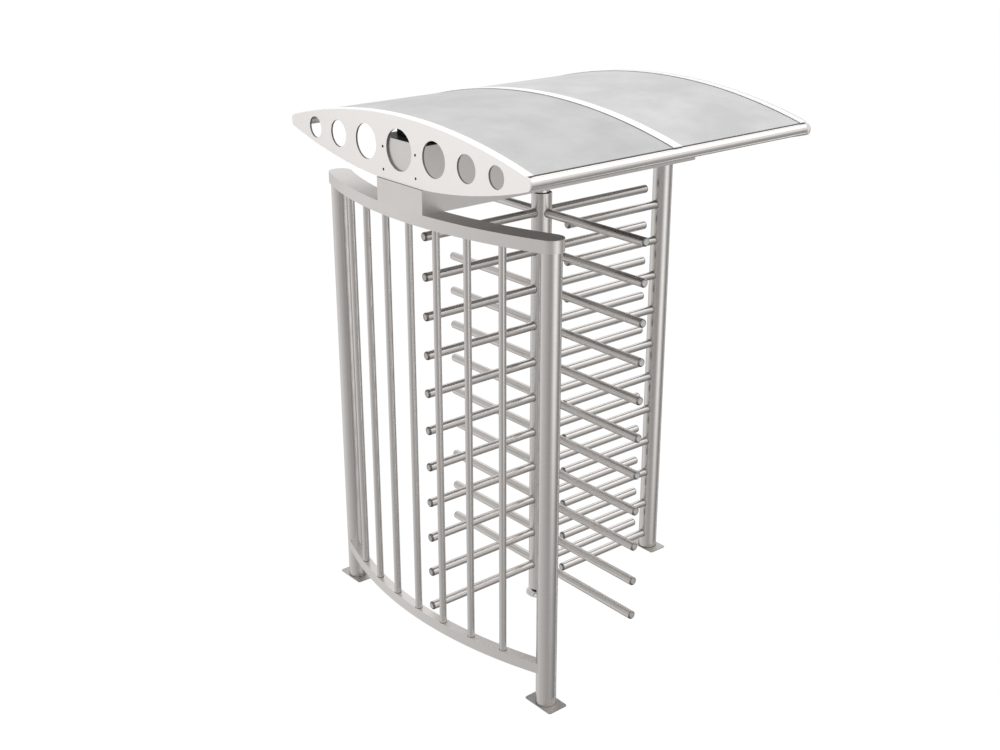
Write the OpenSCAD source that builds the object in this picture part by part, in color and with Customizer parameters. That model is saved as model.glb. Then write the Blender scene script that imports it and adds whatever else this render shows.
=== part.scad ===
// Full-height turnstile with a curved canopy.
// X runs along the head beam, from the guide panel at -X to the comb post at +X.
// Y is the way people walk, Z is up, and the origin is the rotor's axis at the floor.

/* [Rotor] */
// Height from one row of arms to the next
arm_pitch = 170; // [120:1:210]
// Number of rows of arms
arm_rows = 11; // [6:1:12]
// Height of the lowest row of arms above the floor
first_row_z = 165; // [120:1:220]
// Distance from the rotor's axis to the tips of its arms
rotor_r = 630; // [520:1:760]
// Outer diameter of an arm, and of a bar of the comb
arm_d = 38; // [30:1:46]
// Wall of an arm's tube
arm_wall = 2; // [1.5:0.5:4]
// Radius of the rounded edge of the cap on an arm's tip
cap_round = 8; // [4:0.5:12]
// Outer diameter of the rotor's column
column_d = 89; // [76:1:114]
// Wall of the rotor's column
column_wall = 3; // [2:0.5:5]
// Diameter of the shaft above the column
shaft_d = 64; // [50:1:68]
// Diameter of the pin that the rotor turns on at the floor
pivot_d = 30; // [20:1:40]
// Gap round the pin and the shaft in their bearings
bearing_gap = 0.3; // [0.1:0.1:0.5]

/* [Floor bearing] */
// Diameter of the bearing's dome
bearing_d = 112; // [95:1:140]
// Height of the bearing's dome
bearing_h = 29; // [22:1:45]
// Gap from the dome to the bottom of the column
column_lift = 6; // [5:0.5:15]

/* [Comb] */
// Gap from the arms' tips to the comb post
comb_gap = 62; // [40:1:100]
// Diameter of the comb post
comb_post_d = 89; // [76:1:114]
// Gap from the rotor's column to the comb's free ends
comb_reach_gap = 101; // [60:1:200]

/* [Guide panel] */
// Gap from the arms' tips to the nearest bar of the panel
guide_gap = 68; // [50:1:120]
// Half the distance between the guide posts
guide_half = 694; // [500:1:840]
// Depth of the panel's bow, from its posts to its middle
guide_bow = 130; // [90:1:160]
// Diameter of a guide post
guide_post_d = 85; // [60:1:90]
// Number of upright bars between the guide posts
guide_bar_count = 7; // [3:1:9]
// Diameter of an upright bar
guide_bar_d = 30; // [20:1:36]
// Distance from the front post's axis to the first bar's
first_bar_y = 180; // [100:1:260]
// Distance from the last bar's axis to the rear post's
last_bar_y = 218; // [100:1:260]
// How far the top rail stands out past the bars
top_rail_lip = 13; // [5:1:25]
// Width of the top rail
top_rail_w = 100; // [94:1:120]
// Height of the top rail
top_rail_h = 50; // [35:1:70]
// Width of the bottom rail
bottom_rail_w = 40; // [38:1:60]
// Height of the bottom rail
bottom_rail_h = 48; // [35:1:70]
// Height of the bottom rail above the floor
bottom_rail_z = 153; // [80:1:220]

/* [Posts and feet] */
// Wall of a post's tube
post_wall = 3; // [2:0.5:5]
// Wall of the bars, the rails and the canopy's edge tubes
tube_wall = 2; // [1.5:0.5:4]
// Length of a foot plate along X
foot_x = 98; // [94:1:140]
// Length of a foot plate along Y
foot_y = 157; // [120:1:200]
// Thickness of a foot plate
foot_t = 4; // [3:1:12]
// Radius of a foot plate's corners
foot_corner = 10; // [3:1:20]

/* [Head beam] */
// Gap from the top of the column to the underside of the head beam
head_gap = 51; // [30:1:80]
// Width of the head beam
head_w = 300; // [220:1:360]
// Height of the head beam's lower housing
head_h = 99; // [80:1:140]
// Height of the roof carrier on top of the housing
carrier_h = 168; // [120:1:180]
// How far the housing runs on past the comb post
head_overhang = 4; // [0:1:40]
// Thickness of the beam's sheet metal
sheet_t = 3; // [2:0.5:4]

/* [Canopy] */
// Height of the canopy's crest above the roof carrier
crest_h = 93; // [80:1:140]
// Radius of the canopy's curve
canopy_r = 2887; // [2500:1:3600]
// Half the distance between the canopy's two edge tubes
edge_half = 750; // [620:1:900]
// Diameter of an edge tube
edge_tube_d = 48; // [36:1:60]
// How far the edge tubes' crest lies below the top of the roof panels
edge_sink = 3; // [1:0.5:4]
// Thickness of a lens-shaped end plate
plate_t = 8; // [4:1:12]
// Thickness of a roof panel
panel_t = 6; // [5:1:10]
// Thickness of a cover strip
strip_t = 3; // [2:0.5:5]
// Width of the cover strips at the canopy's ends
end_strip_w = 36; // [25:1:60]
// Width of the cover strip over the middle joint
mid_strip_w = 46; // [40:1:80]
// Width of the rib under the middle joint
rib_w = 40; // [30:1:60]
// Height of the rib under the middle joint
rib_h = 20; // [12:1:30]
// Distance from the middle of an end plate to each of its outer holes
hole_y = [223, 420, 593]; // [0:1:700]
// Diameter of an end plate's middle hole, and of each outer hole
hole_d = [166, 142, 110, 88]; // [40:1:170]

/* [Hidden] */
arc_fn = 720;      // for the long curves of the canopy and the guide panel
round_fn = 96;     // for posts, tubes and bearings
step = 1;          // overrun of a cutter past the face that it opens

// Heights, from the floor up
column_z = bearing_h + column_lift;
last_row_z = first_row_z + (arm_rows - 1) * arm_pitch;
column_top = last_row_z + arm_pitch / 2;
head_z = column_top + head_gap;
carrier_z = head_z + head_h;
carrier_top = carrier_z + carrier_h;
crest_z = carrier_top + crest_h;

// Rotor
column_r = column_d / 2;
cap_t = 10;                     // thickness of the discs that close the column
cap_recess = 8;                 // how far they lie inside the column's ends
plug_t = 12;                    // depth of a tip cap's spigot inside its tube
pivot_seat = 10;                // floor of the bearing's socket
shaft_in = 60;                  // how far the shaft reaches up into the head beam
flange_w = 22;                  // width of the top bearing's flange
flange_t = 12;
bearing_ring = 14;              // wall of the top bearing's ring
bearing_hole_d = shaft_d + 2 * (bearing_gap + bearing_ring);

// Floor bearing: a slice of a sphere, with a low upright rim and a flat top
dome_rim = 6;
dome_cut = 3;                   // how far the sphere's own top would stand above the flat
dome_rise = bearing_h + dome_cut - dome_rim;
dome_r = (bearing_d * bearing_d / 4 + dome_rise * dome_rise) / (2 * dome_rise);
dome_z = bearing_h + dome_cut - dome_r;

// Comb
comb_post_x = rotor_r + comb_gap + comb_post_d / 2;
comb_tip_x = column_r + comb_reach_gap;
comb_length = comb_post_x - comb_tip_x;

// Guide panel: every part of it lies on arcs about one centre on the X axis
bar_x = rotor_r + guide_gap + guide_bar_d / 2;
bar_face_x = bar_x + guide_bar_d / 2;
face_x = bar_face_x + top_rail_lip;
rail_mid_x = face_x - top_rail_w / 2;
post_x = rail_mid_x - guide_bow;
bow_r = (guide_half * guide_half + guide_bow * guide_bow) / (2 * guide_bow);
bow_x = bow_r - rail_mid_x;
post_angle = asin(guide_half / bow_r);
bar_r = bow_x + bar_x;
bar_step = (2 * guide_half - first_bar_y - last_bar_y) / (guide_bar_count - 1);
bar_edge = 1;                   // the bars stand this far inside the bottom rail's outer face
bottom_rail_r = bar_r + guide_bar_d / 2 + bar_edge - bottom_rail_w / 2;
top_rail_z = head_z - top_rail_h;
bar_z = bottom_rail_z + bottom_rail_h;

// Head beam
head_end_x = comb_post_x + comb_post_d / 2 + head_overhang;
face_step = 4;                  // the housing's ends stand this far proud of the end plates
roof_x0 = face_step - face_x;   // outer faces of the two end plates
roof_x1 = head_end_x - face_step;
roof_mid = (roof_x0 + roof_x1) / 2;
carrier_x0 = roof_x0 + plate_t; // ends of the roof carrier, against the end plates
carrier_x1 = roof_x1 - plate_t;

// Canopy: the panels, plates, strips and rib follow arcs about one centre under the beam
arc_z = crest_z - canopy_r;
edge_r = edge_tube_d / 2;
edge_arc = canopy_r - edge_sink - edge_r;
edge_z = arc_z + sqrt(edge_arc * edge_arc - edge_half * edge_half);
tip_r = edge_r + edge_sink;
tip_reach = 2;                  // a plate's round tips reach this far past the two arcs' ends
seat_cut = 2.5;                 // flat cut under a plate where it stands on the housing
belly_drop = edge_z - tip_r - (carrier_z - seat_cut);
belly_r = (edge_half * edge_half + belly_drop * belly_drop) / (2 * belly_drop) + tip_r;
hole_z = (carrier_z + crest_z) / 2;
strip_half = edge_half + 4;     // the cover strips run on over the edge tubes' crest
rib_stand_w = 60;

// ---------------------------------------------------------------- shared shapes

// A tube that stands on z = 0
module upright_tube(d, wall, h) {
    difference() {
        cylinder(d = d, h = h, $fn = round_fn);
        translate([0, 0, -step])
            cylinder(d = d - 2 * wall, h = h + 2 * step, $fn = round_fn);
    }
}

// A tube along X that carries the cap of an arm's tip, coped to an upright post at x = 0
module coped_tube(d, wall, length, post_d) {
    difference() {
        rotate([0, 90, 0]) cylinder(d = d, h = length - cap_round, $fn = round_fn);
        rotate([0, 90, 0]) translate([0, 0, -step])
            cylinder(d = d - 2 * wall, h = length + 2 * step, $fn = round_fn);
        translate([0, 0, -d]) cylinder(d = post_d, h = 2 * d, $fn = round_fn);
    }
}

// The cap on the tip of such a tube: a button with a rounded edge, and a spigot
module tube_plug(d, wall, length) {
    translate([length - cap_round, 0, 0]) rotate([0, 90, 0]) {
        translate([0, 0, -plug_t])
            cylinder(d = d - 2 * wall, h = plug_t + step, $fn = round_fn);
        rotate_extrude($fn = round_fn) intersection() {
            square([d / 2, cap_round]);
            union() {
                square([d / 2 - cap_round, cap_round]);
                translate([d / 2 - cap_round, 0]) circle(r = cap_round, $fn = round_fn);
            }
        }
    }
}

// Repeats its children at every row of arms
module rows(count, first_z) {
    for (i = [0 : count - 1]) translate([0, 0, first_z + i * arm_pitch]) children();
}

// A plate with round corners that stands on z = 0, centred on the origin
module corner_plate(x, y, t, r) {
    difference() {
        translate([-x / 2, -y / 2, 0]) cube([x, y, t]);
        for (i = [-1, 1], j = [-1, 1]) translate([i * (x / 2 - r), j * (y / 2 - r), -step])
            difference() {
                translate([i > 0 ? 0 : -2 * r, j > 0 ? 0 : -2 * r, 0])
                    cube([2 * r, 2 * r, t + 2 * step]);
                cylinder(r = r, h = t + 2 * step, $fn = round_fn);
            }
    }
}

// A flat outline of the canopy, drawn in Y and Z, as a slab from x0 to x1
module along_x(x0, x1) {
    translate([x0, 0, 0]) rotate([90, 0, 90]) linear_extrude(height = x1 - x0) children();
}

// The outline of the two edge tubes, to draw a tube or to cope what meets it
module edge_circles(d) {
    for (y = [-edge_half, edge_half]) translate([y, edge_z]) circle(d = d, $fn = round_fn);
}

// A band of the canopy's arc, out to a given y on both sides
module arc_band(r_in, r_out, y_half) {
    intersection() {
        translate([0, arc_z]) difference() {
            circle(r = r_out, $fn = arc_fn);
            circle(r = r_in, $fn = arc_fn);
        }
        translate([-y_half, 0]) square([2 * y_half, crest_z + edge_tube_d]);
    }
}

// ---------------------------------------------------------------- posts and feet

module foot(x, y) {
    color("silver") translate([x, y, 0]) corner_plate(foot_x, foot_y, foot_t, foot_corner);
}

module foot_plate_front() { foot(-post_x, -guide_half); }
module foot_plate_rear() { foot(-post_x, guide_half); }
module foot_plate_comb() { foot(comb_post_x, 0); }

module guide_post(y) {
    color("silver") translate([-post_x, y, foot_t])
        upright_tube(guide_post_d, post_wall, top_rail_z - foot_t);
}

module guide_post_front() { guide_post(-guide_half); }
module guide_post_rear() { guide_post(guide_half); }

module comb_post() {
    color("silver") translate([comb_post_x, 0, foot_t])
        upright_tube(comb_post_d, post_wall, head_z - foot_t);
}

// ---------------------------------------------------------------- guide panel

// A flat band on the guide panel's arc, centred r from the arc's centre
module bow_band(r, w, angle) {
    translate([bow_x, 0]) intersection() {
        difference() {
            circle(r = r + w / 2, $fn = arc_fn);
            circle(r = r - w / 2, $fn = arc_fn);
        }
        polygon([
            [0, 0],
            [-2 * r * cos(angle), -2 * r * sin(angle)],
            [-2 * r, 0],
            [-2 * r * cos(angle), 2 * r * sin(angle)]
        ]);
    }
}

// The top rail's outline: a band on the arc with round ends over the posts
module rail_outline(w) {
    bow_band(bow_r, w, post_angle);
    for (y = [-guide_half, guide_half]) translate([-post_x, y]) circle(d = w, $fn = round_fn);
}

module guide_top_rail() {
    color("silver") translate([0, 0, top_rail_z]) difference() {
        linear_extrude(height = top_rail_h) rail_outline(top_rail_w);
        translate([0, 0, -step])
            linear_extrude(height = top_rail_h - tube_wall + step)
                rail_outline(top_rail_w - 2 * tube_wall);
    }
}

// Plate that closes the top rail from below, which the posts and bars are welded to
module guide_rail_base() {
    color("silver") translate([0, 0, top_rail_z])
        linear_extrude(height = tube_wall) rail_outline(top_rail_w - 2 * tube_wall);
}

module guide_bottom_rail() {
    color("silver") translate([0, 0, bottom_rail_z]) difference() {
        linear_extrude(height = bottom_rail_h)
            bow_band(bottom_rail_r, bottom_rail_w, post_angle);
        translate([0, 0, tube_wall])
            linear_extrude(height = bottom_rail_h - 2 * tube_wall)
                bow_band(bottom_rail_r, bottom_rail_w - 2 * tube_wall, post_angle + step);
        for (y = [-guide_half, guide_half]) translate([-post_x, y, -step])
            cylinder(d = guide_post_d, h = bottom_rail_h + 2 * step, $fn = round_fn);
    }
}

module guide_bars() {
    color("silver") for (i = [0 : guide_bar_count - 1]) {
        y = first_bar_y + i * bar_step - guide_half;
        x = bow_x - sqrt(bar_r * bar_r - y * y);
        translate([x, y, bar_z]) upright_tube(guide_bar_d, tube_wall, top_rail_z - bar_z);
    }
}

// ---------------------------------------------------------------- comb

// The comb's bars lie halfway between the rows of arms
module comb_place() {
    rows(arm_rows, first_row_z - arm_pitch / 2) translate([comb_post_x, 0, 0])
        mirror([1, 0, 0]) children();
}

module comb_bars() {
    color("silver") comb_place() coped_tube(arm_d, arm_wall, comb_length, comb_post_d);
}

module comb_plugs() {
    color("gainsboro") comb_place() tube_plug(arm_d, arm_wall, comb_length);
}

// ---------------------------------------------------------------- head beam

// A rectangular tube of sheet metal along X, closed later by its end covers
module sheet_tube(x0, x1, z, h) {
    difference() {
        translate([x0, -head_w / 2, z]) cube([x1 - x0, head_w, h]);
        translate([x0 - step, sheet_t - head_w / 2, z + sheet_t])
            cube([x1 - x0 + 2 * step, head_w - 2 * sheet_t, h - 2 * sheet_t]);
    }
}

module end_cover(x, z, h) {
    color("lightgrey") translate([x, -head_w / 2, z]) cube([sheet_t, head_w, h]);
}

module head_housing() {
    color("lightgrey") difference() {
        sheet_tube(sheet_t - face_x, head_end_x - sheet_t, head_z, head_h);
        translate([0, 0, head_z - step])
            cylinder(d = bearing_hole_d, h = sheet_t + 2 * step, $fn = round_fn);
    }
}

module head_cover_left() { end_cover(-face_x, head_z, head_h); }
module head_cover_right() { end_cover(head_end_x - sheet_t, head_z, head_h); }

// Flanged ring in the housing's floor that steadies the shaft
module top_bearing() {
    color("dimgray") difference() {
        union() {
            translate([0, 0, head_z])
                cylinder(d = bearing_hole_d, h = sheet_t, $fn = round_fn);
            translate([0, 0, head_z + sheet_t])
                cylinder(d = bearing_hole_d + 2 * flange_w, h = flange_t, $fn = round_fn);
        }
        translate([0, 0, head_z - step])
            cylinder(d = shaft_d + 2 * bearing_gap, h = sheet_t + flange_t + 2 * step,
                     $fn = round_fn);
    }
}

module roof_carrier() {
    color("lightgrey") sheet_tube(carrier_x0 + sheet_t, carrier_x1 - sheet_t, carrier_z, carrier_h);
}

module carrier_cover_left() { end_cover(carrier_x0, carrier_z, carrier_h); }
module carrier_cover_right() { end_cover(carrier_x1 - sheet_t, carrier_z, carrier_h); }

// ---------------------------------------------------------------- canopy

// Lens between the canopy's arc and a shallow belly, with a round tip at each edge tube
module lens() {
    intersection() {
        translate([0, arc_z]) circle(r = canopy_r, $fn = arc_fn);
        translate([0, carrier_z - seat_cut + belly_r]) circle(r = belly_r, $fn = arc_fn);
        union() {
            translate([-edge_half, carrier_z]) square([2 * edge_half, crest_z - carrier_z]);
            edge_circles(2 * (tip_r + tip_reach));
        }
    }
}

module end_plate(x) {
    color("gainsboro") difference() {
        along_x(x, x + plate_t) lens();
        for (i = [0 : len(hole_d) - 1], side = i == 0 ? [1] : [-1, 1])
            translate([x - step, side * (i == 0 ? 0 : hole_y[i - 1]), hole_z])
                rotate([0, 90, 0])
                    cylinder(d = hole_d[i], h = plate_t + 2 * step, $fn = round_fn);
    }
}

module end_plate_left() { end_plate(roof_x0); }
module end_plate_right() { end_plate(carrier_x1); }

module edge_tube(y) {
    color("silver") translate([carrier_x0, y, edge_z]) rotate([0, 90, 0])
        upright_tube(edge_tube_d, tube_wall, carrier_x1 - carrier_x0);
}

module edge_tube_front() { edge_tube(-edge_half); }
module edge_tube_rear() { edge_tube(edge_half); }

// Short stand on the carrier that the middle rib is welded to
module rib_stand() {
    color("lightgrey") along_x(roof_mid - rib_w / 2, roof_mid + rib_w / 2) intersection() {
        translate([-rib_stand_w / 2, carrier_top]) square([rib_stand_w, crest_h]);
        translate([0, arc_z]) circle(r = canopy_r - panel_t - rib_h, $fn = arc_fn);
    }
}

module middle_rib() {
    color("lightgrey") along_x(roof_mid - rib_w / 2, roof_mid + rib_w / 2) difference() {
        arc_band(canopy_r - panel_t - rib_h, canopy_r - panel_t, edge_half);
        edge_circles(edge_tube_d);
    }
}

module roof_panel(x0, x1) {
    color("lightsteelblue", 0.7) along_x(x0, x1) difference() {
        arc_band(canopy_r - panel_t, canopy_r, edge_half);
        edge_circles(edge_tube_d);
    }
}

module roof_panel_left() { roof_panel(carrier_x0, roof_mid); }
module roof_panel_right() { roof_panel(roof_mid, carrier_x1); }

module cover_strip(x0, x1) {
    color("white") along_x(x0, x1) arc_band(canopy_r, canopy_r + strip_t, strip_half);
}

module cover_strip_left() { cover_strip(roof_x0, roof_x0 + end_strip_w); }
module cover_strip_middle() { cover_strip(roof_mid - mid_strip_w / 2, roof_mid + mid_strip_w / 2); }
module cover_strip_right() { cover_strip(roof_x1 - end_strip_w, roof_x1); }

// ---------------------------------------------------------------- rotor and its bearings

// Polished dome on the floor with the socket that the rotor's pin turns in
module floor_bearing() {
    color("silver") difference() {
        intersection() {
            cylinder(d = bearing_d, h = bearing_h, $fn = round_fn);
            translate([0, 0, dome_z]) sphere(r = dome_r, $fn = round_fn);
        }
        translate([0, 0, pivot_seat])
            cylinder(d = pivot_d + 2 * bearing_gap, h = bearing_h, $fn = round_fn);
    }
}

module rotor_column() {
    color("silver") translate([0, 0, column_z])
        upright_tube(column_d, column_wall, column_top - column_z);
}

module column_cap(z) {
    color("dimgray") translate([0, 0, z])
        cylinder(d = column_d - 2 * column_wall, h = cap_t, $fn = round_fn);
}

module column_top_cap() { column_cap(column_top - cap_recess - cap_t); }
module column_foot_cap() { column_cap(column_z); }

module rotor_shaft() {
    color("gainsboro") translate([0, 0, column_top - cap_recess])
        cylinder(d = shaft_d, h = head_gap + shaft_in + cap_recess, $fn = round_fn);
}

module rotor_pivot() {
    color("gainsboro") translate([0, 0, pivot_seat + bearing_gap])
        cylinder(d = pivot_d, h = column_z - pivot_seat - bearing_gap, $fn = round_fn);
}

module wing(angle) {
    color("silver") rotate([0, 0, angle]) rows(arm_rows, first_row_z)
        coped_tube(arm_d, arm_wall, rotor_r, column_d);
}

module wing_plugs(angle) {
    color("gainsboro") rotate([0, 0, angle]) rows(arm_rows, first_row_z)
        tube_plug(arm_d, arm_wall, rotor_r);
}

module wing_right() { wing(0); }
module wing_rear() { wing(90); }
module wing_left() { wing(180); }
module wing_front() { wing(270); }
module plugs_right() { wing_plugs(0); }
module plugs_rear() { wing_plugs(90); }
module plugs_left() { wing_plugs(180); }
module plugs_front() { wing_plugs(270); }

foot_plate_front();
foot_plate_rear();
foot_plate_comb();
guide_post_front();
guide_post_rear();
comb_post();
guide_bottom_rail();
guide_bars();
guide_top_rail();
guide_rail_base();
comb_bars();
comb_plugs();
floor_bearing();
head_housing();
head_cover_left();
head_cover_right();
top_bearing();
roof_carrier();
carrier_cover_left();
carrier_cover_right();
end_plate_left();
end_plate_right();
rib_stand();
middle_rib();
edge_tube_front();
edge_tube_rear();
roof_panel_left();
roof_panel_right();
cover_strip_left();
cover_strip_middle();
cover_strip_right();
rotor_column();
column_top_cap();
column_foot_cap();
rotor_shaft();
rotor_pivot();
wing_left();
wing_front();
wing_right();
wing_rear();
plugs_left();
plugs_front();
plugs_right();
plugs_rear();
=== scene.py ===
"""Full-height turnstile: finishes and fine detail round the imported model.

X runs along the head beam, from the guide panel at -X to the comb post at +X.
Y is the way people walk, Z is up, and the rotor's axis meets the floor at the origin.
"""
import math

import bmesh
import bpy
from mathutils import Matrix, Vector


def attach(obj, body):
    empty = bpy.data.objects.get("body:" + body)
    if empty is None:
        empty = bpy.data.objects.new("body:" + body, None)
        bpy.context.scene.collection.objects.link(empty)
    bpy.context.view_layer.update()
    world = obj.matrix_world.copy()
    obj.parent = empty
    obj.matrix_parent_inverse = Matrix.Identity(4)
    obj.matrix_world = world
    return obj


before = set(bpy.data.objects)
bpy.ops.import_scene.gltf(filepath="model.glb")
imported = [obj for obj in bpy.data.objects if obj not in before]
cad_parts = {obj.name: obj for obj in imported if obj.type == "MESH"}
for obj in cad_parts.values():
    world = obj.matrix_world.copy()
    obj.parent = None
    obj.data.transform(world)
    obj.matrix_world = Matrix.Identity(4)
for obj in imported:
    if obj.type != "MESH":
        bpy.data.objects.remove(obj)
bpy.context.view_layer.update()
scene = bpy.context.scene

# ------------------------------------------------------------------ camera
# Stands off the guide panel's front post, well above head height, and looks down.
CAMERA_AT = Vector((-3.7621, -4.2789, 3.3598))
CAMERA_TURN = math.radians(39.52)    # from +Y towards +X
CAMERA_DOWN = math.radians(21.535)
CAMERA_ROLL = math.radians(-0.11)
LENS = 49.23      # mm, on a sensor this many mm wide
SENSOR = 36

look = Vector((math.sin(CAMERA_TURN) * math.cos(CAMERA_DOWN),
               math.cos(CAMERA_TURN) * math.cos(CAMERA_DOWN),
               -math.sin(CAMERA_DOWN)))
level_right = look.cross(Vector((0, 0, 1))).normalized()
level_up = level_right.cross(look)
right = level_right * math.cos(CAMERA_ROLL) + level_up * math.sin(CAMERA_ROLL)
up = level_up * math.cos(CAMERA_ROLL) - level_right * math.sin(CAMERA_ROLL)
lens = bpy.data.cameras.new("camera")
lens.sensor_width = SENSOR
lens.lens = LENS
camera = bpy.data.objects.new("camera", lens)
camera.matrix_world = (Matrix.Translation(CAMERA_AT)
                       @ Matrix((right, up, -look)).transposed().to_4x4())
scene.collection.objects.link(camera)
scene.camera = camera
scene.view_settings.view_transform = "Standard"


# ------------------------------------------------------------------ studio
# A white room with a pale floor and one broad soft lamp. A ball of grey and bright cards
# stands far outside, which gives round steel its light and dark bands.
def add(tree, kind, sockets=None, **settings):
    """Adds a node; a socket takes a value, or another node's output."""
    node = tree.nodes.new(kind)
    for name, value in settings.items():
        setattr(node, name, value)
    for name, value in (sockets or {}).items():
        if isinstance(value, bpy.types.NodeSocket):
            tree.links.new(value, node.inputs[name])
        else:
            node.inputs[name].default_value = value
    return node


def colour(text):
    """An sRGB hex value as the linear colour that a shader takes."""
    parts = [int(text[i:i + 2], 16) / 255 for i in (1, 3, 5)]
    return [c / 12.92 if c <= 0.04045 else ((c + 0.055) / 1.055) ** 2.4 for c in parts] + [1]


def empty_material(name):
    material = bpy.data.materials.new(name)
    material.use_nodes = True
    material.node_tree.nodes.clear()
    return material, material.node_tree


def mesh_object(name, points, faces, material):
    mesh = bpy.data.meshes.new(name)
    mesh.from_pydata(points, [], faces)
    mesh.materials.append(material)
    piece = bpy.data.objects.new(name, mesh)
    scene.collection.objects.link(piece)
    return piece


def seen_white(tree):
    """1 for a ray that meets the white background, and 0 for one that gathers light."""
    path = add(tree, "ShaderNodeLightPath")
    first = add(tree, "ShaderNodeMath", {0: path.outputs["Is Camera Ray"],
                                         1: path.outputs["Is Glossy Ray"]}, operation="MAXIMUM")
    either = add(tree, "ShaderNodeMath", {0: first.outputs[0],
                                          1: path.outputs["Is Transmission Ray"]},
                 operation="MAXIMUM")
    return either.outputs[0]


SKY_LIGHT = 0.72      # strength of the room's walls and ceiling as a light
FLOOR_SHOWN = 0.86    # share of the floor that shows as plain white; the rest takes shadow
FLOOR_WHITE = 1.12    # strength of that white, so that both together show as white

world = bpy.data.worlds.new("white_room")
world.use_nodes = True
scene.world = world
room = world.node_tree
room.nodes.clear()
lights = add(room, "ShaderNodeBackground", {"Color": colour("#ffffff"), "Strength": SKY_LIGHT})
shows = add(room, "ShaderNodeBackground", {"Color": colour("#ffffff"), "Strength": 1.0})
mixed = add(room, "ShaderNodeMixShader", {0: seen_white(room), 1: lights.outputs[0],
                                          2: shows.outputs[0]})
add(room, "ShaderNodeOutputWorld", {"Surface": mixed.outputs[0]})

floor_paint, tree = empty_material("pale_studio_floor")
paint = add(tree, "ShaderNodeBsdfDiffuse", {"Color": colour("#b4b4b4")})
shown = add(tree, "ShaderNodeEmission", {"Color": colour("#ffffff"), "Strength": FLOOR_WHITE})
share = add(tree, "ShaderNodeMath", {0: seen_white(tree), 1: FLOOR_SHOWN}, operation="MULTIPLY")
both = add(tree, "ShaderNodeMixShader", {0: share.outputs[0], 1: paint.outputs[0],
                                         2: shown.outputs[0]})
add(tree, "ShaderNodeOutputMaterial", {"Surface": both.outputs[0]})

FLOOR_R = 30.0
SIDES = 96
rim = [(FLOOR_R * math.cos(math.tau * i / SIDES), FLOOR_R * math.sin(math.tau * i / SIDES), 0)
       for i in range(SIDES)]
floor = mesh_object("floor", rim, [tuple(range(SIDES))], floor_paint)
floor.visible_glossy = False    # steel shows the cards in its place

# Strength of the cards by compass angle, in degrees from +X towards +Y: the lid, a belt
# well up, one at the horizon, one just under it, one lower down, and the dark bottom of the ball
LID = [(0, 1.00), (360, 1.00)]
TOP_BELT = [(0, 1.00), (15, 1.15), (32, 1.42), (48, 1.32), (68, 1.00), (88, 0.76), (140, 0.74),
            (165, 1.00), (360, 1.00)]
HIGH_BELT = [(0, 1.00), (75, 1.00), (95, 0.74), (150, 0.72), (172, 1.00), (260, 1.00),
             (285, 0.90), (325, 0.86), (345, 0.96), (360, 1.00)]
BELT = [(0, 0.34), (22, 0.36), (60, 0.52), (101, 0.98), (130, 0.98), (150, 0.82), (176, 0.69),
        (200, 0.55), (222, 0.42), (234, 0.42), (245, 0.60), (255, 0.92), (266, 1.28),
        (278, 1.48), (290, 1.30), (303, 0.74), (317, 0.42), (333, 0.32), (350, 0.35),
        (360, 0.40)]
LOW_BELT = [(0, 0.28), (30, 0.34), (70, 0.60), (110, 0.90), (161, 0.74), (199, 0.64),
            (234, 0.52), (257, 0.48), (270, 0.51), (294, 0.42), (309, 0.34), (324, 0.31),
            (343, 0.29), (360, 0.30)]
BOTTOM = 0.33
BRIGHTEST = 1.7       # what the strengths are shares of in a ramp's colours
BALL_R = 60.0
BALL_AT = Vector((0, 0, 1.1))

card_glow, tree = empty_material("studio_cards")
where = add(tree, "ShaderNodeTexCoord")
middle = add(tree, "ShaderNodeVectorMath", {0: where.outputs["Object"], 1: BALL_AT},
             operation="SUBTRACT")
angle = add(tree, "ShaderNodeTexGradient", {0: middle.outputs[0]}, gradient_type="RADIAL")
turn = add(tree, "ShaderNodeMath", {0: angle.outputs["Fac"], 1: 0.5}, operation="SUBTRACT")
compass = add(tree, "ShaderNodeMath", {0: turn.outputs[0], 1: 1.0},
              operation="FLOORED_MODULO").outputs[0]
height = add(tree, "ShaderNodeSeparateXYZ", {0: middle.outputs[0]}).outputs["Z"]


def card_ramp(stops):
    """The strength of one belt of cards all the way round, as a grey."""
    ramp = add(tree, "ShaderNodeValToRGB", {0: compass})
    ends = ramp.color_ramp.elements[0], ramp.color_ramp.elements[-1]
    made = [ramp.color_ramp.elements.new(place / 360) for place, _ in stops[1:-1]]
    for stop, (_, strength) in zip([ends[0], *made, ends[1]], stops):
        stop.color = [strength / BRIGHTEST] * 3 + [1]
    return ramp.outputs["Color"]


def between(lowest, highest):
    """0 below one angle of elevation and 1 above the other, with a soft change."""
    heights = [BALL_R * math.sin(math.radians(a)) for a in (lowest, highest)]
    return add(tree, "ShaderNodeMapRange",
               {"Value": height, "From Min": heights[0], "From Max": heights[1]},
               interpolation_type="SMOOTHSTEP").outputs[0]


# Each belt takes over from the one below it between two angles of elevation
shade = [BOTTOM / BRIGHTEST] * 3 + [1]
for lowest, highest, belt in ((-56, -42, LOW_BELT), (-31, -22, BELT), (-8, 2, HIGH_BELT),
                              (20, 30, TOP_BELT), (50, 60, LID)):
    shade = add(tree, "ShaderNodeMixRGB", {0: between(lowest, highest), 1: shade,
                                           2: card_ramp(belt)}).outputs[0]
glow = add(tree, "ShaderNodeEmission", {"Color": shade, "Strength": BRIGHTEST})
add(tree, "ShaderNodeOutputMaterial", {"Surface": glow.outputs[0]})

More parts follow.
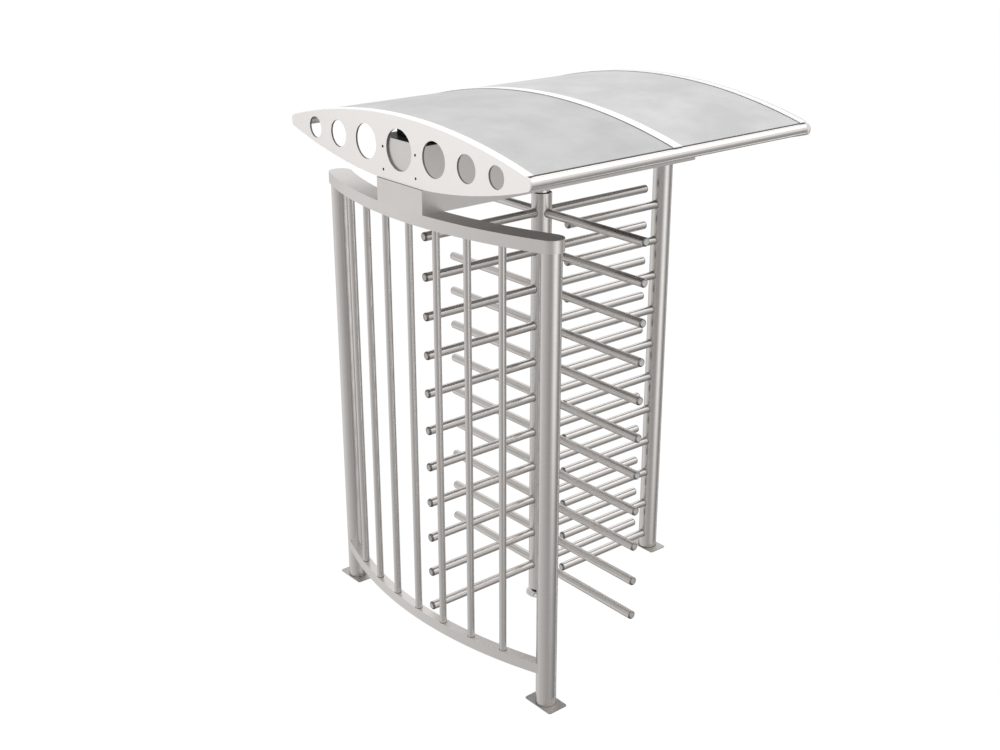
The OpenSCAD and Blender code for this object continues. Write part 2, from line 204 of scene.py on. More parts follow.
LEVELS = range(-88, 89, 4)        # degrees of elevation
rings = [[BALL_AT + BALL_R * Vector((math.cos(math.tau * i / SIDES) * math.cos(math.radians(e)),
                                     math.sin(math.tau * i / SIDES) * math.cos(math.radians(e)),
                                     math.sin(math.radians(e)))) for i in range(SIDES)]
         for e in LEVELS]
faces = [(k * SIDES + i, k * SIDES + (i + 1) % SIDES, (k + 1) * SIDES + (i + 1) % SIDES,
          (k + 1) * SIDES + i) for k in range(len(LEVELS) - 1) for i in range(SIDES)]
top_ring = (len(LEVELS) - 1) * SIDES
faces += [tuple(range(SIDES)), tuple(range(top_ring, top_ring + SIDES))]
cards = mesh_object("studio_cards", [p for level in rings for p in level], faces, card_glow)
cards.visible_camera = cards.visible_diffuse = False
cards.visible_transmission = cards.visible_shadow = False

LAMP_AT = Vector((-4.6, -1.2, 6.4))
LAMP_AIM = Vector((0, 0, 1.2))
LAMP_ACROSS = 4.0
LAMP_WATTS = 260
lamp_data = bpy.data.lights.new("soft_lamp", "AREA")
lamp_data.shape = "DISK"
lamp_data.size = LAMP_ACROSS
lamp_data.energy = LAMP_WATTS
lamp = bpy.data.objects.new("soft_lamp", lamp_data)
lamp.location = LAMP_AT
lamp.rotation_euler = (LAMP_AIM - LAMP_AT).to_track_quat("-Z", "Y").to_euler()
lamp.visible_camera = lamp.visible_glossy = False
scene.collection.objects.link(lamp)


# ------------------------------------------------------------------ round steel
# Posts, bars, arms and edge tubes: drawn stainless tube, belt-brushed round its girth to
# a satin, a finer one on the edge tubes, whose steel is also painted paler as a painted
# highlight. The eye sees soft lengthwise bands of light,
# broken by the faintest hairlines.
NOISE = {"From Min": 0.3, "From Max": 0.7}    # noise seldom leaves this part of its range
PATCHES = 14.0                                # a metre: the polish drifts over 70 mm


def varied(tree, tint, pattern, at_low, at_high, span=NOISE):
    """A colour that a pattern shades, from one share of it to another."""
    share = add(tree, "ShaderNodeMapRange", span | {"Value": pattern, "To Min": at_low,
                                                    "To Max": at_high})
    return add(tree, "ShaderNodeVectorMath", {0: colour(tint)[:3], "Scale": share.outputs[0]},
               operation="SCALE").outputs[0]


def brushed_steel(name, tint, roughness, stretch, depth):
    """stretch: how many times a metre the brushing's lines change along X, Y and Z;
    depth: how deep they are, in metres."""
    material, tree = empty_material(name)
    where = add(tree, "ShaderNodeTexCoord")
    hairs = add(tree, "ShaderNodeMapping", {"Vector": where.outputs["Object"], "Scale": stretch})
    grain = add(tree, "ShaderNodeTexNoise", {"Vector": hairs.outputs[0], "Scale": 1.0,
                                             "Detail": 3.0, "Roughness": 0.6})
    cloud = add(tree, "ShaderNodeTexNoise", {"Vector": where.outputs["Object"],
                                             "Scale": PATCHES, "Detail": 2.0})
    haze = add(tree, "ShaderNodeMapRange", NOISE | {
        "Value": cloud.outputs[0], "To Min": roughness - 0.02, "To Max": roughness + 0.02})
    relief = add(tree, "ShaderNodeBump", {"Height": grain.outputs[0], "Strength": 0.3,
                                          "Distance": depth})
    shader = add(tree, "ShaderNodeBsdfPrincipled", {
        "Base Color": varied(tree, tint, grain.outputs[0], 0.95, 1.0), "Metallic": 1.0,
        "Roughness": haze.outputs[0], "Normal": relief.outputs[0]})
    add(tree, "ShaderNodeOutputMaterial", {"Surface": shader.outputs[0]})
    return material


def dress(material, *nodes):
    """Puts a material on CAD nodes, in place of their plain one."""
    for name in nodes:
        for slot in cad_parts[name].material_slots:
            slot.material = material


# The real hairlines are under 0.1 mm apart; these are coarser so that they can show
APART = 400      # a metre, so 2.5 mm apart
LONG = 20        # a metre, so 50 mm long
SATIN = 0.00003          # metres deep
FINE_SATIN = 0.00002
tube_steel = brushed_steel("brushed_stainless_tube", "#cfcbc8", 0.24, (LONG, LONG, APART), SATIN)
dress(tube_steel, "guide_post_front", "guide_post_rear", "comb_post", "guide_bars",
      "rotor_column")
along_x = brushed_steel("brushed_stainless_along_x", "#cfcbc8", 0.22, (APART, LONG, LONG),
                        FINE_SATIN)
dress(along_x, "wing_left", "wing_right", "comb_bars")
along_y = brushed_steel("brushed_stainless_along_y", "#cfcbc8", 0.22, (LONG, APART, LONG),
                        FINE_SATIN)
dress(along_y, "wing_front", "wing_rear")
# The edge tubes' paler tint is a painted highlight; their finer satin is their own finish
eaves_steel = brushed_steel("bright_stainless_eaves", "#ece8e5", 0.20, (APART, LONG, LONG),
                            FINE_SATIN)
dress(eaves_steel, "edge_tube_front", "edge_tube_rear")

# ------------------------------------------------------------------ weld beads
# Every arm and comb bar is TIG-welded round its saddle-shaped foot, and every bar and post
# round its ends. The beads are about 2.5 mm wide and finely rippled. Their steel is painted
# darker: partly the weld's own tone, partly painted shade for the contact shadow at the feet.
MM = 0.001
ARM_ROWS = 11
FIRST_ROW = 165 * MM
ROW_PITCH = 170 * MM
ARM_R = 19 * MM
COLUMN_R = 44.5 * MM
COMB_POST_X = 736.5 * MM
BEAD_R = 1.3 * MM

RIPPLES = 700      # a metre, so 1.4 mm apart
# Painted shade: the bead steel is darker than the tubes, for the contact shadow where they meet
weld_steel = brushed_steel("tig_weld_bead", "#7c7976", 0.42, (RIPPLES, RIPPLES, RIPPLES), 0.0001)


def sized_tree(name, *sizes):
    """An empty Geometry Nodes tree, with one named input for each size in metres."""
    tree = bpy.data.node_groups.new(name, "GeometryNodeTree")
    tree.interface.new_socket("Geometry", in_out="OUTPUT", socket_type="NodeSocketGeometry")
    for size in sizes:
        tree.interface.new_socket(size, in_out="INPUT", socket_type="NodeSocketFloat")
    return tree, add(tree, "NodeGroupInput").outputs


def arc_reach(tree, radius, across):
    """How far out a circle's edge lies, at a given way across the circle."""
    squares = [add(tree, "ShaderNodeMath", {0: value, 1: 2.0}, operation="POWER").outputs[0]
               for value in (radius, across)]
    left = add(tree, "ShaderNodeMath", dict(enumerate(squares)), operation="SUBTRACT")
    return add(tree, "ShaderNodeMath", {0: left.outputs[0]}, operation="SQRT").outputs[0]


def finish_tree(tree, geometry, material):
    """Ends a tree: its instances become real, and wear a material."""
    solid = add(tree, "GeometryNodeRealizeInstances", {"Geometry": geometry})
    coated = add(tree, "GeometryNodeSetMaterial", {"Geometry": solid.outputs[0],
                                                   "Material": material})
    add(tree, "NodeGroupOutput", {"Geometry": coated.outputs[0]})


def grow(name, tree, sizes, body, smooth=True):
    """Runs a tree with its sizes, and keeps what it makes as a plain mesh on one body."""
    piece = bpy.data.objects.new(name, bpy.data.meshes.new(name))
    scene.collection.objects.link(piece)
    growth = piece.modifiers.new("growth", "NODES")
    growth.node_group = tree
    for socket in tree.interface.items_tree:
        if socket.in_out == "INPUT":
            growth[socket.identifier] = float(sizes[socket.name])
    grown = piece.evaluated_get(bpy.context.evaluated_depsgraph_get())
    mesh = bpy.data.meshes.new_from_object(grown)
    piece.modifiers.remove(growth)
    finish = next(material for material in mesh.materials if material)
    mesh.materials.clear()
    mesh.materials.append(finish)
    mesh.polygons.foreach_set("material_index", [0] * len(mesh.polygons))
    if smooth:
        mesh.shade_smooth()
    piece.data = mesh
    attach(piece, body)


def saddle_tree(name, wings):
    """Beads round the feet of rows of arms on a post, for a number of wings."""
    tree, size = sized_tree(name, "Post radius", "Arm radius", "Bead radius", "First row",
                            "Row pitch", "Post X", "Turn")
    ring = add(tree, "GeometryNodeCurvePrimitiveCircle", {"Resolution": 40,
                                                          "Radius": size["Arm radius"]})
    spot = add(tree, "ShaderNodeSeparateXYZ", {
        0: add(tree, "GeometryNodeInputPosition").outputs[0]}).outputs
    reach = arc_reach(tree, size["Post radius"], spot["Y"])
    saddle = add(tree, "ShaderNodeCombineXYZ", {"X": reach, "Y": spot["Y"], "Z": spot["X"]})
    seam = add(tree, "GeometryNodeSetPosition", {"Geometry": ring.outputs[0],
                                                 "Position": saddle.outputs[0]})
    section = add(tree, "GeometryNodeCurvePrimitiveCircle", {"Resolution": 8,
                                                             "Radius": size["Bead radius"]})
    bead = add(tree, "GeometryNodeCurveToMesh", {"Curve": seam.outputs[0],
                                                 "Profile Curve": section.outputs[0]})
    low = add(tree, "ShaderNodeCombineXYZ", {"Z": size["First row"]})
    pitch = add(tree, "ShaderNodeCombineXYZ", {"Z": size["Row pitch"]})
    rows = add(tree, "GeometryNodeMeshLine", {"Count": ARM_ROWS, "Start Location": low.outputs[0],
                                              "Offset": pitch.outputs[0]})
    column = add(tree, "GeometryNodeInstanceOnPoints", {"Points": rows.outputs[0],
                                                        "Instance": bead.outputs[0]})
    centre = add(tree, "ShaderNodeCombineXYZ", {"X": size["Post X"]})
    hub = add(tree, "GeometryNodePoints", {"Count": wings, "Position": centre.outputs[0]})
    number = add(tree, "GeometryNodeInputIndex")
    turned = add(tree, "ShaderNodeMath", {0: number.outputs[0], 1: math.tau / 4,
                                          2: size["Turn"]}, operation="MULTIPLY_ADD")
    facing = add(tree, "ShaderNodeCombineXYZ", {"Z": turned.outputs[0]})
    wing = add(tree, "GeometryNodeInstanceOnPoints", {"Points": hub.outputs[0],
                                                      "Instance": column.outputs[0],
                                                      "Rotation": facing.outputs[0]})
    finish_tree(tree, wing.outputs[0], weld_steel)
    return tree


saddle = {"Post radius": COLUMN_R, "Arm radius": ARM_R + 0.3 * MM, "Bead radius": BEAD_R,
          "First row": FIRST_ROW, "Row pitch": ROW_PITCH, "Post X": 0, "Turn": 0}
grow("arm_welds", saddle_tree("saddle_welds_of_four_wings", 4), saddle, "rotor")
grow("comb_welds", saddle_tree("saddle_welds_of_comb", 1),
     saddle | {"First row": FIRST_ROW - ROW_PITCH / 2, "Post X": COMB_POST_X, "Turn": math.pi},
     "frame")

# ------------------------------------------------------------------ welds of the uprights
# The guide panel's seven bars stand on a bowed line between two rails. Each bar is welded
# all round at both ends, and each post at its foot plate and under the top rail.
BAR_COUNT = 7
BAR_PITCH = 165 * MM
BAR_SHIFT = 19 * MM       # the row stands this much nearer the front post
GUIDE_HALF = 694 * MM     # from the panel's middle to each post
GUIDE_BOW = 130 * MM      # how far the rails bow out between the posts
RAIL_X = 691 * MM         # the rails' middle line, where it is furthest out
BAR_X = 713 * MM          # the bars' own line, where it is furthest out
BOW_X = (GUIDE_HALF ** 2 + GUIDE_BOW ** 2) / (2 * GUIDE_BOW) - RAIL_X    # the arcs' centre
BOW = {"Ring radius": 15.2 * MM, "Bead radius": 1.2 * MM,
       "First Y": -BAR_SHIFT - (BAR_COUNT - 1) / 2 * BAR_PITCH, "Pitch": BAR_PITCH,
       "Bow radius": BOW_X + BAR_X, "Bow X": BOW_X, "Foot Z": 201.6 * MM,
       "Head Z": 1950.4 * MM}


def ring_bead(tree, radius, bead, smooth_steps):
    """A bead all round an upright tube."""
    ring = add(tree, "GeometryNodeCurvePrimitiveCircle", {"Resolution": smooth_steps,
                                                          "Radius": radius})
    section = add(tree, "GeometryNodeCurvePrimitiveCircle", {"Resolution": 8, "Radius": bead})
    return add(tree, "GeometryNodeCurveToMesh", {"Curve": ring.outputs[0],
                                                 "Profile Curve": section.outputs[0]})


tree, size = sized_tree("bar_end_welds", *BOW)
first = add(tree, "ShaderNodeCombineXYZ", {"Y": size["First Y"]})
along = add(tree, "ShaderNodeCombineXYZ", {"Y": size["Pitch"]})
bars = add(tree, "GeometryNodeMeshLine", {"Count": BAR_COUNT, "Start Location": first.outputs[0],
                                          "Offset": along.outputs[0]})
spot = add(tree, "ShaderNodeSeparateXYZ", {
    0: add(tree, "GeometryNodeInputPosition").outputs[0]}).outputs
bowed = add(tree, "ShaderNodeMath", {
    0: size["Bow X"], 1: arc_reach(tree, size["Bow radius"], spot["Y"])}, operation="SUBTRACT")
ends = add(tree, "GeometryNodeJoinGeometry")
for level in ("Foot Z", "Head Z"):
    place = add(tree, "ShaderNodeCombineXYZ", {"X": bowed.outputs[0], "Y": spot["Y"],
                                               "Z": size[level]})
    lined = add(tree, "GeometryNodeSetPosition", {"Geometry": bars.outputs[0],
                                                  "Position": place.outputs[0]})
    tree.links.new(lined.outputs[0], ends.inputs[0])
bead = ring_bead(tree, size["Ring radius"], size["Bead radius"], 32)
beads = add(tree, "GeometryNodeInstanceOnPoints", {"Points": ends.outputs[0],
                                                   "Instance": bead.outputs[0]})
finish_tree(tree, beads.outputs[0], weld_steel)
grow("bar_welds", tree, BOW, "frame")


def two_points(tree, middle, out):
    """Two points, one each way out from a middle."""
    start = add(tree, "ShaderNodeVectorMath", {0: middle, 1: out}, operation="SUBTRACT")
    stride = add(tree, "ShaderNodeVectorMath", {0: out, "Scale": 2.0}, operation="SCALE")
    return add(tree, "GeometryNodeMeshLine", {"Count": 2, "Start Location": start.outputs[0],
                                              "Offset": stride.outputs[0]}).outputs[0]


POSTS = {"Ring radius": 42.6 * MM, "Bead radius": 0.9 * MM, "X": GUIDE_BOW - RAIL_X,
         "Half": GUIDE_HALF, "Foot Z": 4.6 * MM, "Head Z": 1950.4 * MM}
tree, size = sized_tree("post_end_welds", *POSTS)
half = add(tree, "ShaderNodeCombineXYZ", {"Y": size["Half"]})
ends = add(tree, "GeometryNodeJoinGeometry")
for level in ("Foot Z", "Head Z"):
    middle = add(tree, "ShaderNodeCombineXYZ", {"X": size["X"], "Z": size[level]})
    tree.links.new(two_points(tree, middle.outputs[0], half.outputs[0]), ends.inputs[0])
bead = ring_bead(tree, size["Ring radius"], size["Bead radius"], 64)
beads = add(tree, "GeometryNodeInstanceOnPoints", {"Points": ends.outputs[0],
                                                   "Instance": bead.outputs[0]})
finish_tree(tree, beads.outputs[0], weld_steel)
grow("guide_post_welds", tree, POSTS, "frame")
grow("comb_post_welds", tree, POSTS | {"Ring radius": 44.7 * MM, "X": COMB_POST_X, "Half": 0,
                                       "Head Z": 2000.4 * MM},
     "frame")

# ------------------------------------------------------------------ sheet steel
# Head beam, rails and foot plates: cold-rolled stainless sheet, folded, with its brushing
# along the sheet. Flat faces look even and a little duller than the tubes.
ALONG_SHEET = (12, 260, 260)    # lines 80 mm long and 4 mm apart, coarse enough to show
sheet_steel = brushed_steel("brushed_stainless_sheet", "#d6d2cf", 0.34, ALONG_SHEET, SATIN)
dress(sheet_steel, "head_housing", "head_cover_left", "head_cover_right",
      "roof_carrier", "carrier_cover_left", "carrier_cover_right", "rib_stand",
      "guide_top_rail", "guide_rail_base", "guide_bottom_rail")
foot_steel = brushed_steel("pickled_stainless_plate", "#b3afac", 0.4, ALONG_SHEET, SATIN)
dress(foot_steel, "foot_plate_front", "foot_plate_rear", "foot_plate_comb")

# ------------------------------------------------------------------ middle rib
# The rib under the canopy's middle joint is hot-dip galvanised, since it hardly shows: a
# dull mid grey with the soft patches that zinc crystals leave, 10 to 20 mm across.
CRYSTALS = 70.0      # a metre, so 14 mm across

galvanised, tree = empty_material("galvanised_steel")
where = add(tree, "ShaderNodeTexCoord")
crystals = add(tree, "ShaderNodeTexVoronoi", {"Vector": where.outputs["Object"],
                                              "Scale": CRYSTALS})
patch = add(tree, "ShaderNodeSeparateColor", {0: crystals.outputs["Color"]})
shader = add(tree, "ShaderNodeBsdfPrincipled", {
    "Base Color": varied(tree, "#8a8886", patch.outputs[0], 0.86, 1.0, span={}),
    "Metallic": 0.85, "Roughness": 0.62})
add(tree, "ShaderNodeOutputMaterial", {"Surface": shader.outputs[0]})
dress(galvanised, "middle_rib")

# ------------------------------------------------------------------ terminal box
# A small die-cast box stands on the carrier behind the left end plate, where its corner
# shows through the middle hole. Its lid laps over its body, and its charcoal hammer paint
# holds metal flakes, so it shades as a dark metal.
DIMPLES = 180      # a metre, so 5.6 mm apart
box_paint = brushed_steel("charcoal_hammer_paint", "#4a4846", 0.5, (DIMPLES, DIMPLES, DIMPLES),
                          0.0001)
BOX_LOW = Vector((-680, -110, 2268)) * MM
BOX_HIGH = Vector((-430, 90, 2318)) * MM
LID_LAP = 2.5 * MM
LID_H = 12 * MM
ROUNDING = 3 * MM

lap = Vector((LID_LAP, LID_LAP, 0))
lid_low = Vector((BOX_LOW.x, BOX_LOW.y, BOX_HIGH.z)) - lap
lid_high = Vector((BOX_HIGH.x, BOX_HIGH.y, BOX_HIGH.z + LID_H)) + lap
shell = bmesh.new()
for low, high in ((BOX_LOW, BOX_HIGH), (lid_low, lid_high)):
    made = bmesh.ops.create_cube(shell, size=1.0)["verts"]
    bmesh.ops.scale(shell, vec=high - low, verts=made)
    bmesh.ops.translate(shell, vec=(high + low) / 2, verts=made)
bmesh.ops.bevel(shell, geom=shell.edges[:], offset=ROUNDING, segments=3, profile=0.5,
                affect="EDGES")
box_mesh = bpy.data.meshes.new("terminal_box")
shell.to_mesh(box_mesh)
shell.free()
box_mesh.materials.append(box_paint)
terminal_box = bpy.data.objects.new("terminal_box", box_mesh)
scene.collection.objects.link(terminal_box)
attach(terminal_box, "frame")


# ------------------------------------------------------------------ arm tips
# Caps on the arms and the comb's bars: turned stainless buttons with a rounded edge and a
# flat face, finer in finish than the tubes, so the flat catches the light as a bright dot.
def plain_steel(name, tint, roughness, spots):
    """Steel with no brushing; spots: how many times a metre its polish changes."""
    material, tree = empty_material(name)
    where = add(tree, "ShaderNodeTexCoord")
    cloud = add(tree, "ShaderNodeTexNoise", {"Vector": where.outputs["Object"], "Scale": spots,
                                             "Detail": 4.0})
    haze = add(tree, "ShaderNodeMapRange", NOISE | {
        "Value": cloud.outputs[0], "To Min": roughness * 0.8, "To Max": roughness * 1.2})
    shader = add(tree, "ShaderNodeBsdfPrincipled", {
        "Base Color": varied(tree, tint, cloud.outputs[0], 1.0, 0.95), "Metallic": 1.0,
        "Roughness": haze.outputs[0]})
    add(tree, "ShaderNodeOutputMaterial", {"Surface": shader.outputs[0]})
    return material


def overpaint(material, mask, tint):
    """Lays a second colour over a material's own, where a mask is 1."""
    tree = material.node_tree
    shader = next(node for node in tree.nodes if node.type == "BSDF_PRINCIPLED")
    own = shader.inputs["Base Color"].links[0].from_socket
    both = add(tree, "ShaderNodeMixRGB", {0: mask, 1: own, 2: colour(tint)})
    tree.links.new(both.outputs[0], shader.inputs["Base Color"])


def short_along(tree, vector, axis, start, end):
    """1 where a vector is short along an axis, fading to 0 between two lengths."""
    part = add(tree, "ShaderNodeSeparateXYZ", {0: vector}).outputs[axis]
    length = add(tree, "ShaderNodeMath", {0: part}, operation="ABSOLUTE")
    return add(tree, "ShaderNodeMapRange", {"Value": length.outputs[0], "From Min": start,
                                            "From Max": end, "To Min": 1.0,
                                            "To Max": 0.0}).outputs[0]


CAP_SPOTS = 90               # a metre, so the polish changes about three times across a cap
FLAT_FACE = 0.97, 0.995      # cosines of 14 and 6 degrees off the cap's axis


def cap_finish(name, flat_tint, rim_tint, roughness, axis):
    """A turned cap whose flat face, square to an axis, is tinted paler than its rim."""
    material = plain_steel(name, flat_tint, roughness, CAP_SPOTS)
    tree = material.node_tree
    facing = add(tree, "ShaderNodeTexCoord").outputs["Normal"]
    overpaint(material, short_along(tree, facing, axis, *FLAT_FACE), rim_tint)
    return material


dress(cap_finish("turned_stainless_cap", "#bdbab7", "#7c7976", 0.24, "X"),
      "comb_plugs", "plugs_left", "plugs_right")
# The caps that meet people in the passage are buffed finer, and painted a brighter tint as a
# painted highlight
dress(cap_finish("buffed_stainless_cap", "#ffffff", "#8a8784", 0.12, "Y"),
      "plugs_front", "plugs_rear")

# ------------------------------------------------------------------ bearings
# The rotor's shaft, its pin and the floor bearing's dome are ground and polished, and show
# sharp reflections. The flange and the column's end discs are plain dark turned steel.
polished = plain_steel("polished_stainless", "#dad8d6", 0.12, 40)
dress(polished, "floor_bearing", "rotor_shaft", "rotor_pivot")
bearing_steel = plain_steel("oiled_bearing_steel", "#3c3b3a", 0.38, 120)
dress(bearing_steel, "top_bearing", "column_top_cap", "column_foot_cap")


# ------------------------------------------------------------------ painted plates
# Lens-shaped end plates: cut steel plate with a fine white powder coat, so an even warm
# white with the faint orange peel that a baked coat has, 2 to 3 mm from bump to bump.
PEEL_BUMPS = 380.0     # a metre, so 2.6 mm apart
COAT_CLOUDS = 5.0      # a metre, so 200 mm across


def powder_coat(name, tint, roughness, peel):
    """peel: how deep the orange peel is, in metres."""
    material, tree = empty_material(name)
    where = add(tree, "ShaderNodeTexCoord")
    bumps = add(tree, "ShaderNodeTexNoise", {"Vector": where.outputs["Object"],
                                             "Scale": PEEL_BUMPS, "Detail": 1.0})
    cloud = add(tree, "ShaderNodeTexNoise", {"Vector": where.outputs["Object"],
                                             "Scale": COAT_CLOUDS, "Detail": 3.0})
    relief = add(tree, "ShaderNodeBump", {"Height": bumps.outputs[0], "Strength": 0.15,
                                          "Distance": peel})
    shader = add(tree, "ShaderNodeBsdfPrincipled", {
        "Base Color": varied(tree, tint, cloud.outputs[0], 0.985, 1.0), "Roughness": roughness,
        "IOR": 1.5, "Specular IOR Level": 0.35, "Normal": relief.outputs[0]})
    add(tree, "ShaderNodeOutputMaterial", {"Surface": shader.outputs[0]})
    return material


plate_coat = powder_coat("white_powder_coat", "#e3dfdc", 0.45, 0.0003)
dress(plate_coat, "end_plate_left", "end_plate_right")
# The holes' laser-cut edges are painted a dark grey: painted shade for the shade on these edges
CUT_EDGE = 0.4, 0.6         # how far a face may point along X and still be a cut edge
HOLES_END = 0.66, 0.68      # metres from the middle: past the last hole, short of the tips
tree = plate_coat.node_tree
edge = short_along(tree, add(tree, "ShaderNodeNewGeometry").outputs["Normal"], "X", *CUT_EDGE)
inside = short_along(tree, add(tree, "ShaderNodeTexCoord").outputs["Object"], "Y", *HOLES_END)
bare = add(tree, "ShaderNodeMath", {0: edge, 1: inside}, operation="MULTIPLY")
overpaint(plate_coat, bare.outputs[0], "#6f6c6a")

# ------------------------------------------------------------------ plate screws
# Four blackened button-head screws fix each end plate to the carrier behind it, either
# side of the middle hole. Each head is 11 mm across, with a hexagon socket.
screw_steel = plain_steel("blackened_screw_steel", "#1f1e1e", 0.5, 400)
SCREWS = {"Head radius": 5.4 * MM, "Head height": 2.4 * MM, "Socket radius": 1.9 * MM,
          "Across": 214 * MM, "Upright": 91 * MM, "Middle Z": 2183.5 * MM,
          "Left X": -737 * MM, "Right X": 781 * MM}
tree, size = sized_tree("plate_screws", *SCREWS)
ball = add(tree, "GeometryNodeMeshUVSphere", {"Segments": 28, "Rings": 12, "Radius": 1.0})
flatness = add(tree, "ShaderNodeCombineXYZ", {"X": size["Head radius"], "Y": size["Head radius"],
                                              "Z": size["Head height"]})
dome = add(tree, "GeometryNodeTransform", {"Geometry": ball.outputs[0],
                                           "Scale": flatness.outputs[0]})
hexagon = add(tree, "GeometryNodeMeshCylinder", {"Vertices": 6, "Radius": size["Socket radius"],
                                                 "Depth": size["Head height"]})
up_to_top = add(tree, "ShaderNodeCombineXYZ", {"Z": size["Head height"]})
cutter = add(tree, "GeometryNodeTransform", {"Geometry": hexagon.outputs[0],
                                             "Translation": up_to_top.outputs[0]})
head = add(tree, "GeometryNodeMeshBoolean", {"Mesh 1": dome.outputs[0],
                                             "Mesh 2": cutter.outputs[0]},
           operation="DIFFERENCE")
grid = add(tree, "GeometryNodeMeshGrid", {"Size X": size["Across"], "Size Y": size["Upright"],
                                          "Vertices X": 2, "Vertices Y": 2})
spot = add(tree, "ShaderNodeSeparateXYZ", {
    0: add(tree, "GeometryNodeInputPosition").outputs[0]}).outputs
upright = add(tree, "ShaderNodeMath", {0: spot["Y"], 1: size["Middle Z"]}, operation="ADD")
heads = add(tree, "GeometryNodeJoinGeometry")
for side, turn in (("Left X", -1), ("Right X", 1)):
    place = add(tree, "ShaderNodeCombineXYZ", {
        "X": size[side], "Y": spot["X"], "Z": upright.outputs[0]})
    spots = add(tree, "GeometryNodeSetPosition", {"Geometry": grid.outputs["Mesh"],
                                                  "Position": place.outputs[0]})
    outward = add(tree, "ShaderNodeCombineXYZ", {"Y": turn * math.tau / 4})
    fixed = add(tree, "GeometryNodeInstanceOnPoints", {"Points": spots.outputs[0],
                                                       "Instance": head.outputs["Mesh"],
                                                       "Rotation": outward.outputs[0]})
    tree.links.new(fixed.outputs[0], heads.inputs[0])
finish_tree(tree, heads.outputs[0], screw_steel)
grow("plate_screws", tree, SCREWS, "frame")

# ------------------------------------------------------------------ cover strips
# Rolled aluminium strips that clamp the panels' edges, powder-coated a clean bright white.
strip_coat = powder_coat("white_cover_strip", "#f6f6f6", 0.4, 0.0002)
dress(strip_coat, "cover_strip_left", "cover_strip_middle", "cover_strip_right")

# ------------------------------------------------------------------ gaskets
# Black EPDM rubber: a lip 4 mm wide squeezed out beside each cover strip, one along each
# panel's lower edge on the edge tube, and one between the head beam and the end plates.
# These dark lips are partly seals and partly painted shade for the shade in these joints.
BLOOM = 60.0       # a metre: the rubber's grey bloom comes and goes over 17 mm

rubber, tree = empty_material("black_epdm_rubber")
where = add(tree, "ShaderNodeTexCoord")
bloom = add(tree, "ShaderNodeTexNoise", {"Vector": where.outputs["Object"], "Scale": BLOOM,
                                         "Detail": 4.0})
shader = add(tree, "ShaderNodeBsdfPrincipled", {
    "Base Color": varied(tree, "#4a4a4a", bloom.outputs[0], 0.8, 1.3), "Roughness": 0.7,
    "IOR": 1.52})
add(tree, "ShaderNodeOutputMaterial", {"Surface": shader.outputs[0]})

CANOPY_X = 22 * MM      # the canopy's middle joint
LIPS = {"Width": 4 * MM, "Height": 2.4 * MM, "Length": 1498 * MM, "Middle X": CANOPY_X,
        "Near": 25 * MM, "Apart": 696 * MM, "Roof radius": 2887 * MM, "Roof Z": -526 * MM,
        "Joints": 4}
tree, size = sized_tree("strip_gaskets", *LIPS)
block = add(tree, "ShaderNodeCombineXYZ", {"X": size["Width"], "Y": size["Length"],
                                           "Z": size["Height"]})
lip = add(tree, "GeometryNodeMeshCube", {"Size": block.outputs[0], "Vertices X": 2,
                                         "Vertices Y": 61, "Vertices Z": 2})
# Lips 0 and 1 lie just left and right of the middle, 2 and 3 lie further out
number = add(tree, "GeometryNodeInputIndex").outputs[0]
half = add(tree, "ShaderNodeMath", {0: number, 1: 2.0}, operation="DIVIDE")
further = add(tree, "ShaderNodeMath", {0: half.outputs[0]}, operation="FLOOR")
odd = add(tree, "ShaderNodeMath", {0: number, 1: 2.0}, operation="MODULO")
way = add(tree, "ShaderNodeMath", {0: odd.outputs[0], 1: 2.0, 2: -1.0},
          operation="MULTIPLY_ADD")
off = add(tree, "ShaderNodeMath", {0: further.outputs[0], 1: size["Apart"], 2: size["Near"]},
          operation="MULTIPLY_ADD")
lip_x = add(tree, "ShaderNodeMath", {0: off.outputs[0], 1: way.outputs[0],
                                     2: size["Middle X"]}, operation="MULTIPLY_ADD")
joint_x = add(tree, "ShaderNodeCombineXYZ", {"X": lip_x.outputs[0]})
joints = add(tree, "GeometryNodePoints", {"Count": size["Joints"],
                                          "Position": joint_x.outputs[0]})
lips = add(tree, "GeometryNodeInstanceOnPoints", {"Points": joints.outputs[0],
                                                  "Instance": lip.outputs["Mesh"]})
laid = add(tree, "GeometryNodeRealizeInstances", {"Geometry": lips.outputs[0]})
spot = add(tree, "ShaderNodeSeparateXYZ", {
    0: add(tree, "GeometryNodeInputPosition").outputs[0]}).outputs
arch = add(tree, "ShaderNodeMath", {0: arc_reach(tree, size["Roof radius"], spot["Y"]),
                                    1: size["Roof Z"]}, operation="ADD")
rise = add(tree, "ShaderNodeCombineXYZ", {"Z": arch.outputs[0]})
bent = add(tree, "GeometryNodeSetPosition", {"Geometry": laid.outputs[0],
                                             "Offset": rise.outputs[0]})
finish_tree(tree, bent.outputs[0], rubber)
grow("strip_gaskets", tree, LIPS, "frame", smooth=False)
# The right strip, at the comb's end, has a dark lip along its outer edge as well: painted shade
# for the shade on the strip's far edge
grow("outer_gasket", tree, LIPS | {"Width": 2.8 * MM, "Height": 5.6 * MM, "Joints": 1,
                                   "Near": -760.4 * MM, "Apart": 0},
     "frame", smooth=False)

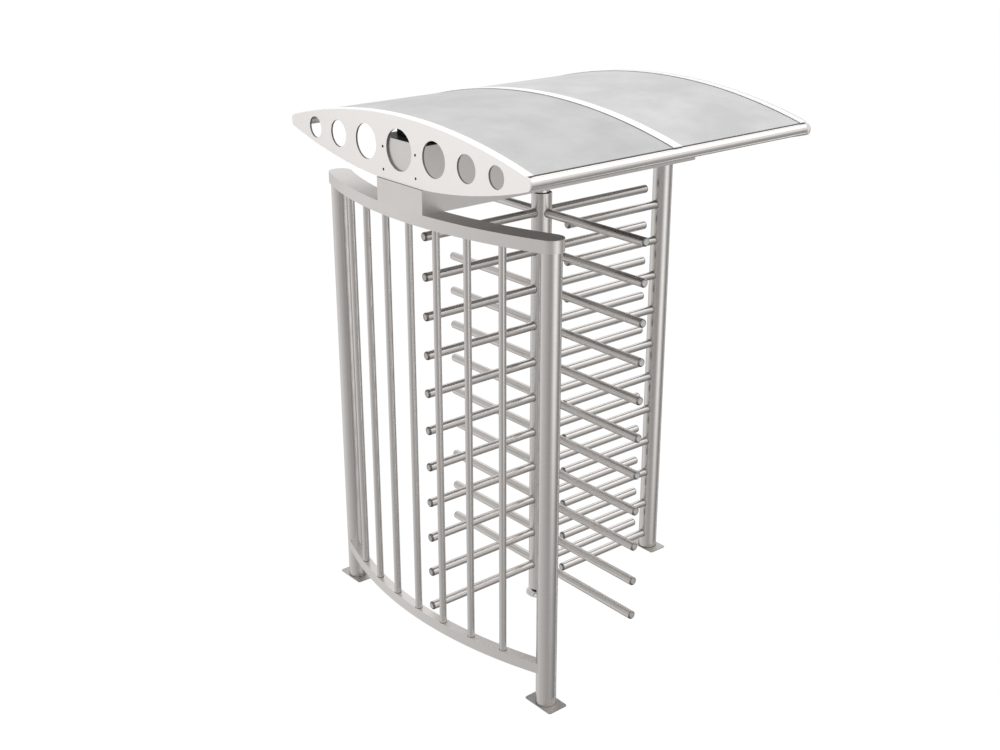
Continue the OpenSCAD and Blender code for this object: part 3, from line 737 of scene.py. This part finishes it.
tree, size = sized_tree("paired_gaskets", "Length X", "Length Y", "Height", "Middle X",
                        "Middle Z", "Out X", "Out Y")
block = add(tree, "ShaderNodeCombineXYZ", {"X": size["Length X"], "Y": size["Length Y"],
                                           "Z": size["Height"]})
lip = add(tree, "GeometryNodeMeshCube", {"Size": block.outputs[0]})
middle = add(tree, "ShaderNodeCombineXYZ", {"X": size["Middle X"], "Z": size["Middle Z"]})
out = add(tree, "ShaderNodeCombineXYZ", {"X": size["Out X"], "Y": size["Out Y"]})
lips = add(tree, "GeometryNodeInstanceOnPoints", {
    "Points": two_points(tree, middle.outputs[0], out.outputs[0]),
    "Instance": lip.outputs["Mesh"]})
finish_tree(tree, lips.outputs[0], rubber)
EAVES = {"Length X": 1502 * MM, "Length Y": 2 * MM, "Height": 1.7 * MM, "Middle X": CANOPY_X,
         "Middle Z": 2259.2 * MM, "Out X": 0, "Out Y": 750.8 * MM}
grow("eaves_gaskets", tree, EAVES, "frame", smooth=False)
SEALS = {"Length X": 3.6 * MM, "Length Y": 299 * MM, "Height": 1.6 * MM, "Middle X": CANOPY_X,
         "Middle Z": 2100.8 * MM, "Out X": 761.1 * MM, "Out Y": 0}
grow("plate_seals", tree, SEALS, "frame", smooth=False)

# ------------------------------------------------------------------ roof panels
# Frosted polycarbonate, extruded and bent over the rib: a cool even grey with faint clouds
# where the frosting is thinner, and a dull sheen.
FROST_CLOUDS = 3.4      # a metre, so 300 mm across
FROST_GRAIN = 260.0     # a metre: 4 mm apart, where real frosting is under 0.2 mm
THIN_FROST = {"From Min": 0.38, "From Max": 0.62}


def frosted(name, tint):
    material, tree = empty_material(name)
    where = add(tree, "ShaderNodeTexCoord")
    clouds = add(tree, "ShaderNodeTexNoise", {"Vector": where.outputs["Object"],
                                              "Scale": FROST_CLOUDS, "Detail": 5.0,
                                              "Roughness": 0.62})
    frost = add(tree, "ShaderNodeTexNoise", {"Vector": where.outputs["Object"],
                                             "Scale": FROST_GRAIN, "Detail": 2.0})
    relief = add(tree, "ShaderNodeBump", {"Height": frost.outputs[0], "Strength": 0.2,
                                          "Distance": 0.0001})
    shader = add(tree, "ShaderNodeBsdfPrincipled", {
        "Base Color": varied(tree, tint, clouds.outputs[0], 0.84, 1.0, span=THIN_FROST),
        "Roughness": 0.40, "IOR": 1.58, "Normal": relief.outputs[0]})
    add(tree, "ShaderNodeOutputMaterial", {"Surface": shader.outputs[0]})
    return material


# The left sheet is tinted a shade darker than the right
dress(frosted("frosted_polycarbonate_left", "#b9b9b9"), "roof_panel_left")
dress(frosted("frosted_polycarbonate_right", "#c8c8c8"), "roof_panel_right")
